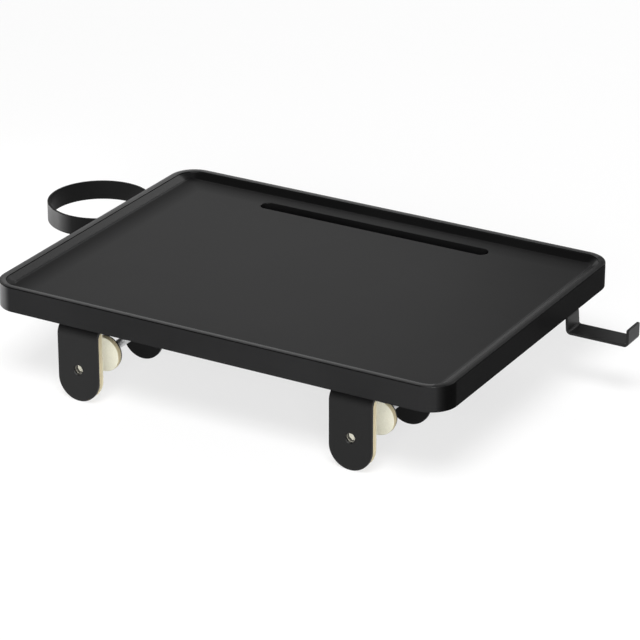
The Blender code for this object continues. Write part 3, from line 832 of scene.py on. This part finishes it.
def bend_bar(bar, path, to_world):
    """Bend a flat bar along a path. to_world places a point of the bend plane and a width."""
    bm = bmesh.new()
    bm.from_mesh(bar.data)
    for u in path.cuts:
        every = bm.verts[:] + bm.edges[:] + bm.faces[:]
        bmesh.ops.bisect_plane(bm, geom=every, plane_co=(u, 0, 0), plane_no=(1, 0, 0))
    for vert in bm.verts:
        point, direction = path.at(vert.co.x)
        point = point + Vector((-direction.y, direction.x)) * (vert.co.z - path.thickness / 2)
        vert.co = to_world(point, vert.co.y)
    bmesh.ops.recalc_face_normals(bm, faces=bm.faces[:])
    bm.to_mesh(bar.data)
    bm.free()
    return bar


def countersink_profile(node, thickness):
    """The hole of a fixing screw through a bar, its cone open at height 0."""
    low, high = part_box(node)
    head = (high.x - low.x) / 2 + FIX_SUNK_CLEARANCE
    shank = FIX_SHANK_DIAMETER / 2 + FIX_SUNK_CLEARANCE
    over = MM
    return [(0, -over), (head, -over), (head, 0), (shank, head - shank), (shank, thickness + over),
            (0, thickness + over)]


def screw_spot(node):
    low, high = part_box(node)
    return (low.x + high.x) / 2, (low.y + high.y) / 2


def sink_screws(piece, screws, count, thickness, spot):
    """Countersunk holes for numbered screws. spot places a hole from its screw's x and y."""
    names = [screws + str(number) for number in range(1, count + 1)]
    places = [Matrix.Translation(spot(*screw_spot(name))) for name in names]
    carve(piece, turned_tool(countersink_profile(names[0], thickness), places))


def screw_level(side):
    """The height of a clamp screw's axis, at which the legs' holes are too."""
    low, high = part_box(side + "_pressure_pad")
    return (low.z + high.z) / 2


def make_bracket(side, material):
    node = side + "_clamp_bracket"
    low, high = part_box(node)
    center_x = (low.x + high.x) / 2
    width = high.x - low.x
    half = BAR_THICKNESS / 2
    middle = high.z - half
    corners = [
        (low.y + half, low.z), (low.y + half, middle), (high.y - half, middle), (high.y - half, low.z)
    ]
    path = BarPath(corners, BAR_BEND_RADIUS, BAR_THICKNESS)
    bar = flat_bar(node + "_dressed", path.length, width, BAR_THICKNESS, width / 2)

    for run, diameter in ((0, FRONT_HOLE_DIAMETER), (2, REAR_HOLE_DIAMETER)):
        spot = Matrix.Translation((path.reach(run, 1, screw_level(side)), 0, 0))
        carve(bar, turned_tool(hole_profile(diameter / 2, BAR_THICKNESS), [spot]))
    sink_screws(bar, side + "_bracket_screw_", 4, BAR_THICKNESS,
                lambda x, y: (path.reach(1, 0, y), x - center_x, 0))
    bend_bar(bar, path, lambda p, w: (center_x + w, p.x, p.y))
    return dress(bar, material, "table", [node])


def make_hook(material):
    low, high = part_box("side_hook")
    tray_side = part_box("tray_board")[1].x
    center_y = (low.y + high.y) / 2
    half = HOOK_THICKNESS / 2
    top = high.z - half
    arm = low.z + half
    strap = tray_side - HOOK_SET_IN - half
    lip = high.x - half
    corners = [
        (low.x, top),
        (strap, top),
        (strap + HOOK_STRAP_LEAN, arm),
        (lip, arm),
        (lip, low.z + HOOK_LIP_HEIGHT),
    ]
    path = BarPath(corners, HOOK_BEND_RADIUS, HOOK_THICKNESS)
    bar = flat_bar("side_hook_dressed", path.length, high.y - low.y, HOOK_THICKNESS, HOOK_CORNER)
    sink_screws(bar, "hook_screw_", 2, HOOK_THICKNESS,
                lambda x, y: (path.reach(0, 0, x), y - center_y, 0))
    bend_bar(bar, path, lambda p, w: (p.x, center_y + w, p.y))
    return dress(bar, material, "table", ["side_hook"])


# Cup ring


def make_cup_ring(material):
    low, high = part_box("cup_ring")
    outer = (high.y - low.y) / 2
    inner = outer - RING_WALL
    center = Vector((low.x + outer, (low.y + high.y) / 2, 0))
    section = [(inner, low.z), (outer, low.z), (outer, high.z), (inner, high.z)]
    bm = bmesh.new()
    turned(bm, filleted(section, RING_EDGE_ROUND, 3), RING_SEGMENTS, closed=True)
    ring = add_piece("cup_ring_dressed", bm, Matrix.Translation(center))

    middle = outer - RING_WALL / 2
    half = TAB_WIDTH / 2
    base = math.sqrt(middle**2 - half**2)
    reach = high.x - center.x
    bm = bmesh.new()
    loops = []
    bottom = high.z - TAB_THICKNESS
    levels = filleted(
        [(half, bottom), (0, bottom), (0, high.z), (half, high.z)], BAR_EDGE_ROUND, 3, closed=False
    )
    for inset, z in levels[1:-1]:
        tip = reach - inset
        wide = half - inset
        corners = [(base, -wide), (tip, -wide), (tip, wide), (base, wide)]
        outline = filleted(corners, [0, TAB_CORNER - inset, TAB_CORNER - inset, 0], 10)
        bow = []
        for k in range(1, 12):
            y = wide * (1 - 2 * k / 12)
            bow.append(Vector((math.sqrt(middle**2 - y**2), y)))
        loops.append(at_height(outline + bow, z))
    loft(bm, loops)
    tab = add_piece("tab_tool", bm, Matrix.Translation(center))
    carve(ring, tab, "UNION")

    sink_screws(ring, "ring_screw_", 2, TAB_THICKNESS, lambda x, y: (x, y, bottom))
    dress(ring, material, "table", ["cup_ring"])

    seam = []
    spread = math.asin(half / outer) * 0.98
    for k in range(49):
        angle = spread * (1 - k / 24)
        seam.append(center + Vector((*polar(outer, angle), 0)))
    weld = make_bead("cup_ring_weld", seam, bottom, RING_WELD)
    dress(weld, material, "table")


def make_bead(name, seam, level, radius, closed=False, axis=2):
    """A weld bead along a seam, in lumps, at a level along an axis."""
    bm = bmesh.new()
    loops = []
    count = len(seam)
    for i, point in enumerate(seam):
        before = seam[i - 1] if closed or i else seam[i]
        after = seam[(i + 1) % count] if closed or i < count - 1 else seam[i]
        along = (after - before).normalized()
        up = Vector([float(k == axis) for k in range(3)])
        side = along.cross(up)
        swell = 1 + 0.12 * math.sin(2.1 * i) + 0.06 * math.sin(5.3 * i)
        taper = 1 if closed else min(1, 0.35 + 0.3 * min(i, count - 1 - i))
        loop = []
        for k in range(10):
            angle = 2 * math.pi * k / 10
            spread = side * math.cos(angle) + up * math.sin(angle)
            base = point.copy()
            base[axis] = level
            loop.append(base + spread * (radius * swell * taper))
        loops.append(loop)
    if closed:
        loops.append(loops[0])
    loft(bm, loops, capped=not closed)
    merge(bm)
    return add_piece(name, bm)


# Felt pads


def felt_section(reach, thickness):
    """Insets and depths from the middle of the back, round the edge, to the middle of the face."""
    rows = max(2, round((reach - FELT_EDGE_ROUND) / FELT_CELL))
    across = [FELT_EDGE_ROUND + (reach * 0.97 - FELT_EDGE_ROUND) * k / rows for k in range(rows + 1)]
    edge = filleted(
        [(reach, 0), (0, 0), (0, thickness), (reach, thickness)], FELT_EDGE_ROUND, 3, closed=False
    )
    wall = max(2, round((thickness - 2 * FELT_EDGE_ROUND) / FELT_CELL))
    side = []
    for k in range(1, wall):
        z = FELT_EDGE_ROUND + (thickness - 2 * FELT_EDGE_ROUND) * k / wall
        side.append(Vector((0, z)))
    back = [Vector((inset, 0)) for inset in across[:0:-1]]
    face = [Vector((inset, thickness)) for inset in across[1:]]
    return back + edge[1:5] + side + edge[5:-1] + face


def make_felt_pad(name, outline, spine, thickness, place, seed):
    """A felt pad: its outline drawn in towards a spine, over both faces, and roughened.

    place takes a point across the pad and a depth from its glued back."""
    reach = min((p - spine(p)).length for p in outline)
    bm = bmesh.new()
    loops = []
    for inset, depth in felt_section(reach, thickness):
        loop = []
        for p in outline:
            heart = spine(p)
            drawn = heart + (p - heart) * (1 - inset / reach)
            loop.append(place(drawn, depth))
        loops.append(loop)
    loft(bm, loops)
    bmesh.ops.triangulate(bm, faces=[face for face in bm.faces if len(face.verts) > 4])
    bmesh.ops.recalc_face_normals(bm, faces=bm.faces[:])
    bm.normal_update()
    back = place(Vector((0, 0)), 0).y
    for vert in bm.verts:
        if abs(vert.co.y - back) < 0.3 * MM:
            continue
        point = vert.co + Vector((seed, 0, 0))
        lump = noise.fractal(point / (2.6 * MM), 1.0, 2.0, 3) * FELT_FLUFF
        swell = noise.noise(point / (14 * MM)) * FELT_FLUFF
        vert.co += vert.normal * (lump + swell)
    return add_piece(name, bm)


def evenly(points, cell):
    """A closed outline with points added so that none are further apart than a cell."""
    full = []
    for a, b in zip(points, points[1:] + points[:1]):
        parts = max(1, round((b - a).length / cell))
        full += [a + (b - a) * (k / parts) for k in range(parts)]
    return full


def make_jaw_pad(side, material, seed):
    """A pad on the back of a front leg. Its top reaches a little way up into the bracket's bend."""
    node = side + "_jaw_pad"
    low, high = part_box(node)
    half = (high.x - low.x) / 2
    center_x = (low.x + high.x) / 2
    thickness = high.y - low.y
    foot = low.z + half
    top = high.z + JAW_PAD_RISE
    bend_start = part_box(side + "_clamp_bracket")[1].z - BAR_THICKNESS - BAR_BEND_RADIUS
    corners = [(-half, top), (-half, low.z), (half, low.z), (half, top)]
    radii = [JAW_PAD_CORNER, half * 0.999, half * 0.999, JAW_PAD_CORNER]
    outline = evenly(filleted(corners, radii, 22), FELT_CELL)

    def spine(p):
        return Vector((0, min(max(p.y, foot), top - half)))

    def place(p, depth):
        into_bend = max(0, p.y - bend_start)
        pressed = BAR_BEND_RADIUS - math.sqrt(max(BAR_BEND_RADIUS**2 - into_bend**2, 0))
        return Vector((center_x + p.x, low.y + max(depth, pressed), p.y))

    pad = make_felt_pad(node + "_dressed", outline, spine, thickness, place, seed)
    radius = FRONT_HOLE_DIAMETER / 2
    punch = [(0, -MM), (radius, -MM), (radius, PUNCH_DEPTH), (0, PUNCH_DEPTH)]
    spot = Matrix.Translation((center_x, low.y, screw_level(side))) @ ALONG_Y
    carve(pad, turned_tool(punch, [spot]))
    dress(pad, material, "table", [node], 60)


def make_pressure_pad(side, material, seed):
    node = side + "_pressure_pad"
    low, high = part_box(node)
    radius = (high.x - low.x) / 2
    center = (low + high) / 2
    thickness = high.y - low.y
    count = 2 * round(math.pi * radius / FELT_CELL)
    outline = [Vector(polar(radius, 2 * math.pi * k / count)) for k in range(count)]

    def place(p, depth):
        return Vector((center.x + p.x, high.y - depth, center.z + p.y))

    pad = make_felt_pad(
        node + "_dressed", outline, lambda p: Vector((0, 0)), thickness, place, seed
    )
    dress(pad, material, side + "_pad", [node], 60)


# Clamp screws and what they carry


def thread(bm, radius, start, end):
    """A right-hand thread about Z, run out at both ends."""
    root = radius - THREAD_DEPTH
    section = ((0.0, root), (0.25, root), (0.56, radius), (0.69, radius))
    turns = math.ceil((end - start) / THREAD_PITCH) + 2
    columns = []
    for j in range((turns + 1) * THREAD_SEGMENTS + 1):
        angle = 2 * math.pi * j / THREAD_SEGMENTS
        column = []
        for share, reach in section:
            z = start + THREAD_PITCH * (j / THREAD_SEGMENTS - 1 + share)
            z = min(max(z, start), end)
            reach = min(reach, root + min(z - start, end - z))
            column.append(bm.verts.new((*polar(reach, angle), z)))
        columns.append(column)
    for j in range(turns * THREAD_SEGMENTS):
        a, b = columns[j], columns[j + 1]
        a = a + [columns[j + THREAD_SEGMENTS][0]]
        b = b + [columns[j + 1 + THREAD_SEGMENTS][0]]
        for k in range(len(section)):
            bm.faces.new((a[k], b[k], b[k + 1], a[k + 1]))
    merge(bm, 0.0001 * MM)
    loose = [v for v in bm.verts if not v.link_faces]
    bmesh.ops.delete(bm, geom=loose, context="VERTS")
    open_edges = [e for e in bm.edges if e.is_boundary]
    bmesh.ops.holes_fill(bm, edges=open_edges, sides=0)


def make_clamp_screw(side, material):
    node = side + "_clamp_screw"
    low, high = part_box(node)
    center = (low + high) / 2
    radius = (high.x - low.x) / 2
    place = Matrix.Translation((center.x, 0, center.z)) @ ALONG_Y
    bm = bmesh.new()
    thread(bm, radius, low.y + JOURNAL_LENGTH, high.y)
    journal = bmesh.new()
    neck = JOURNAL_DIAMETER / 2
    profile = filleted(
        [(0, low.y), (neck, low.y), (neck, low.y + JOURNAL_LENGTH + MM),
         (0, low.y + JOURNAL_LENGTH + MM)],
        [0, 0.4 * MM, 0, 0], 3, closed=False,
    )
    turned(journal, profile, SMALL_SEGMENTS)
    join(bm, journal)
    screw = add_piece(node + "_dressed", bm, place)
    dress(screw, material, side + "_screw", [node], 60)


def make_plate(side, material):
    node = side + "_pressure_plate"
    low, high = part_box(node)
    center = (low + high) / 2
    radius = (high.x - low.x) / 2 - PLATE_SET_IN
    bore = JOURNAL_DIAMETER / 2 + PLATE_BORE_CLEARANCE
    back = low.y + PLATE_THICKNESS
    section = [
        (bore, low.y), (radius, low.y), (radius, back), (HUB_DIAMETER / 2, back),
        (HUB_DIAMETER / 2, high.y), (bore, high.y),
    ]
    radii = [0, 0.4 * MM, 0.6 * MM, 1.0 * MM, 0.5 * MM, 0.3 * MM]
    bm = bmesh.new()
    turned(bm, filleted(section, radii), closed=True)
    place = Matrix.Translation((center.x, 0, center.z)) @ ALONG_Y
    plate = add_piece(node + "_dressed", bm, place)
    dress(plate, material, side + "_pad", [node])


def make_nut(side, material, weld_material):
    node = side + "_screw_nut"
    low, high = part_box(node)
    center = (low + high) / 2
    corner = (high.x - low.x) / 2
    length = high.y - low.y
    place = Matrix.Translation((center.x, low.y, center.z)) @ ALONG_Y
    hexagon = [Vector(polar(corner, math.radians(60 * k))) for k in range(6)]
    bm = bmesh.new()
    loft(bm, [at_height(hexagon, z) for z in (0, length)])
    nut = add_piece(node + "_dressed", bm, place)
    flat = corner * math.cos(math.radians(30))
    slope = math.tan(math.radians(NUT_CHAMFER_ANGLE))
    rise = (corner + MM - flat * 0.97) * slope
    bm = bmesh.new()
    turned(bm, [(0, 0), (flat * 0.97, 0), (corner + MM, rise), (corner + MM, length - rise),
                (flat * 0.97, length), (0, length)])
    carve(nut, add_piece("nut_chamfer_tool", bm, place), "INTERSECT")
    bore = REAR_HOLE_DIAMETER / 2
    carve(nut, turned_tool(hole_profile(bore, length, NUT_EDGE_BREAK), [place]))
    dress(nut, material, "table", [node], 25)

    seam = []
    for k in range(60):
        angle = 2 * math.pi * k / 60
        sector = (angle + math.pi / 6) % (math.pi / 3) - math.pi / 6
        reach = corner * (1 - 0.13 * (1 - abs(sector) / (math.pi / 6)))
        x, z = polar(reach, angle)
        seam.append(center + Vector((x, 0, z)))
    bead = make_bead(side + "_nut_weld", seam, low.y + NUT_WELD_LEVEL, NUT_WELD, True, 1)
    dress(bead, weld_material, "table", (), 60)


def make_knob(side, material):
    node = side + "_hand_knob"
    low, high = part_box(node)
    center = (low + high) / 2
    radius = max(high.x - low.x, high.z - low.z) / 2
    neck = KNOB_NECK_DIAMETER / 2
    length = high.y - low.y

    def lobed(reach, height, angle):
        if reach <= neck * 1.001:
            return reach
        share = (reach - neck) / (radius - neck)
        return reach - share * KNOB_LOBE_DEPTH * (0.5 - 0.5 * math.cos(KNOB_LOBES * angle))

    dish = KNOB_DISH_DIAMETER / 2
    bore = REAR_HOLE_DIAMETER / 2
    section = [
        (bore, KNOB_NECK_LENGTH),
        (bore, 0),
        (neck, 0),
        (neck, KNOB_NECK_LENGTH),
        (radius, KNOB_NECK_LENGTH),
        (radius, length),
        (dish, length),
        (dish - KNOB_DISH_SLOPE, length - KNOB_DISH_DEPTH),
        (0, length - KNOB_DISH_DEPTH),
    ]
    round_ = KNOB_EDGE_ROUND
    radii = [0, 0.4 * MM, 0.6 * MM, 0.8 * MM, round_, round_, 0.8 * MM, 1.2 * MM, 0]
    bm = bmesh.new()
    turned(bm, filleted(section, radii, 8, closed=False), KNOB_SEGMENTS, shape=lobed)
    place = Matrix.Translation((center.x, low.y, center.z)) @ ALONG_Y
    knob = add_piece(node + "_dressed", bm, place)
    dress(knob, material, side + "_screw", [node])


# Fixing screws


def make_fixing_screw(name):
    """A countersunk screw with a cross recess, its head at height 0 and its point up."""
    low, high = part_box(name)
    length = high.z - low.z
    head = (high.x - low.x) / 2
    shank = FIX_SHANK_DIAMETER / 2
    section = [
        (0, 0), (head, 0), (shank, head - shank), (shank, length - FIX_POINT_LENGTH),
        (shank / 4, length), (0, length),
    ]
    bm = bmesh.new()
    radii = [0, 0.12 * MM, 0.5 * MM, 0.3 * MM, 0.1 * MM, 0]
    turned(bm, filleted(section, radii, 3, closed=False), SMALL_SEGMENTS)
    screw = add_piece("screw_shape", bm)
    for quarter in (0, 90):
        bm = bmesh.new()
        loops = []
        for z, span, width in (
            (-MM, FIX_RECESS_SPAN * 1.1, FIX_RECESS_WIDTH * 1.05),
            (FIX_RECESS_DEPTH, FIX_RECESS_SPAN * 0.45, FIX_RECESS_WIDTH * 0.8),
        ):
            outline = rounded_rectangle(span, width, width * 0.3, (0, 0), 3)
            loops.append(at_height(outline, z))
        loft(bm, loops)
        tool = add_piece("recess_tool", bm, Matrix.Rotation(math.radians(quarter), 4, "Z"))
        carve(screw, tool)
    return screw


def make_fixing_screws(material):
    """One screw shape, set in every place with its recess turned a step further."""
    names = sorted(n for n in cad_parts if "_screw_" in n and n[-1].isdigit())
    pattern = make_fixing_screw(names[0])
    for number, name in enumerate(names):
        x, y = screw_spot(name)
        screw = add_object(name + "_dressed", pattern.data.copy())
        turn = Matrix.Rotation(FIX_TURN_STEP * number + FIX_FIRST_TURN, 4, "Z")
        screw.data.transform(Matrix.Translation((x, y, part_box(name)[0].z)) @ turn)
        dress(screw, material, "table", [name])
    bpy.data.objects.remove(pattern)


# Studio


def make_floor(level):
    """A wide pale floor under the legs, seen from above only, that keeps the table's shadow."""
    bm = bmesh.new()
    reach = FLOOR_REACH
    corners = [(-reach, -reach), (reach, -reach), (reach, reach), (-reach, reach)]
    bm.faces.new([bm.verts.new((x, y, level)) for x, y in corners])
    floor = add_piece("studio_floor", bm)
    if floor.data.polygons[0].normal.z < 0:
        floor.data.flip_normals()
    finish = Finish("studio_floor")
    tone = finish.noise(0.8, 2)
    finish.set(
        Base_Color=finish.mix(tone, (0.95, 0.95, 0.95), (0.965, 0.965, 0.965)),
        Roughness=0.9,
        Specular_IOR_Level=0.0,
    )
    rays = "Is Camera Ray", "Is Glossy Ray", "Is Transmission Ray"
    seen, glossy, through = [finish.node("ShaderNodeLightPath", {}, {}, ray) for ray in rays]
    white = finish.node("ShaderNodeEmission", {}, {"Color": (1, 1, 1, 1), "Strength": 1.0})
    share = seen.math("MAXIMUM", glossy).math("MAXIMUM", through) * FLOOR_WHITENING
    paper = finish.node("ShaderNodeMixShader", {}, {0: share, 1: finish.shader, 2: white})
    clear = finish.node("ShaderNodeBsdfTransparent", {}, {})
    behind = finish.node("ShaderNodeNewGeometry", {}, {}, "Backfacing")
    away = finish.node("ShaderNodeVectorMath", {"operation": "LENGTH"}, {0: finish.place()}, "Value")
    gone = behind.math("MAXIMUM", finish.between(away, *FLOOR_FADE))
    finish.surface(finish.node("ShaderNodeMixShader", {}, {0: gone, 1: paper, 2: clear}))
    floor.data.materials.append(finish.material)
    floor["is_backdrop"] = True


def make_world():
    """A plain room: white round the horizon and below, darker overhead."""
    world = bpy.data.worlds.new("studio_room")
    bpy.context.scene.world = world
    world.use_nodes = True
    tree = world.node_tree
    tree.nodes.clear()
    place = tree.nodes.new("ShaderNodeTexCoord")
    parts = tree.nodes.new("ShaderNodeSeparateXYZ")
    ramp = tree.nodes.new("ShaderNodeValToRGB")
    Finish.set_stops(ramp.color_ramp, [(z, (g, g, g)) for z, g in ROOM_TONES])
    background = tree.nodes.new("ShaderNodeBackground")
    output = tree.nodes.new("ShaderNodeOutputWorld")
    tree.links.new(place.outputs["Generated"], parts.inputs[0])
    tree.links.new(parts.outputs["Z"], ramp.inputs[0])
    tree.links.new(ramp.outputs["Color"], background.inputs["Color"])
    tree.links.new(background.outputs[0], output.inputs["Surface"])


def add_softbox(name, azimuth, elevation, distance, size, power):
    """A soft area light, aimed at the table's middle. Azimuth 0 is along X, 90 along Y."""
    light = bpy.data.lights.new(name, "AREA")
    light.shape = "RECTANGLE"
    light.size, light.size_y = size
    light.energy = power
    lamp = add_object(name, light)
    low, high = CAD_BOX
    heart = (low + high) / 2
    turn, rise = math.radians(azimuth), math.radians(elevation)
    away = Vector((*polar(math.cos(rise), turn), math.sin(rise)))
    lamp.location = heart + away * distance
    lamp.rotation_euler = away.to_track_quat("Z", "Y").to_euler()


def add_camera():
    data = bpy.data.cameras.new("camera")
    data.sensor_width = SENSOR_WIDTH
    data.lens = CAMERA_LENS
    camera = add_object("camera", data)
    camera.location = CAMERA_PLACE
    camera.rotation_euler = [math.radians(a) for a in CAMERA_TURN]
    bpy.context.scene.camera = camera


def make_studio():
    add_camera()
    make_floor(CAD_BOX[0].z - FLOOR_DROP)
    make_world()
    for softbox in SOFTBOXES:
        add_softbox(*softbox)
    bpy.context.scene.view_settings.view_transform = "Standard"


def main():
    make_studio()
    coat = make_powder_coat("black_powder_coat")
    # A copy of the black powder coat with painted shade in its gloss.
    bracket_coat = make_powder_coat("bracket_powder_coat_painted_shade", bracket_gloss)
    # A copy of the black powder coat with a painted highlight and painted shade in its gloss.
    ring_coat = make_powder_coat("ring_powder_coat_painted_light", ring_gloss)
    zinc = make_zinc()
    plastic = make_plastic()
    disc_felt = make_felt("disc_felt")
    # Felt with painted shade on its glued back and on the wall of its hole.
    jaw_felt = make_felt("jaw_felt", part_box("left_jaw_pad")[0].y)
    make_tray(make_lacquer(*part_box("tray_board")))
    for number, side in enumerate(SIDES):
        make_bracket(side, bracket_coat)
        make_jaw_pad(side, jaw_felt, 3.1 * number)
        make_pressure_pad(side, disc_felt, 3.1 * number + 1.7)
        make_plate(side, coat)
        make_clamp_screw(side, zinc)
        make_nut(side, zinc, coat)
        make_knob(side, plastic)
        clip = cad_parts[side + "_screw_clip"]
        clip.data.materials.clear()
        clip.data.materials.append(zinc)
    make_cup_ring(ring_coat)
    make_hook(coat)
    make_fixing_screws(make_screw_black())


main()

DRESSED_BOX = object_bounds()
boxes = {"cad": CAD_BOX, "visual": DRESSED_BOX}
{k: [list(corner) for corner in box] for k, box in boxes.items()}
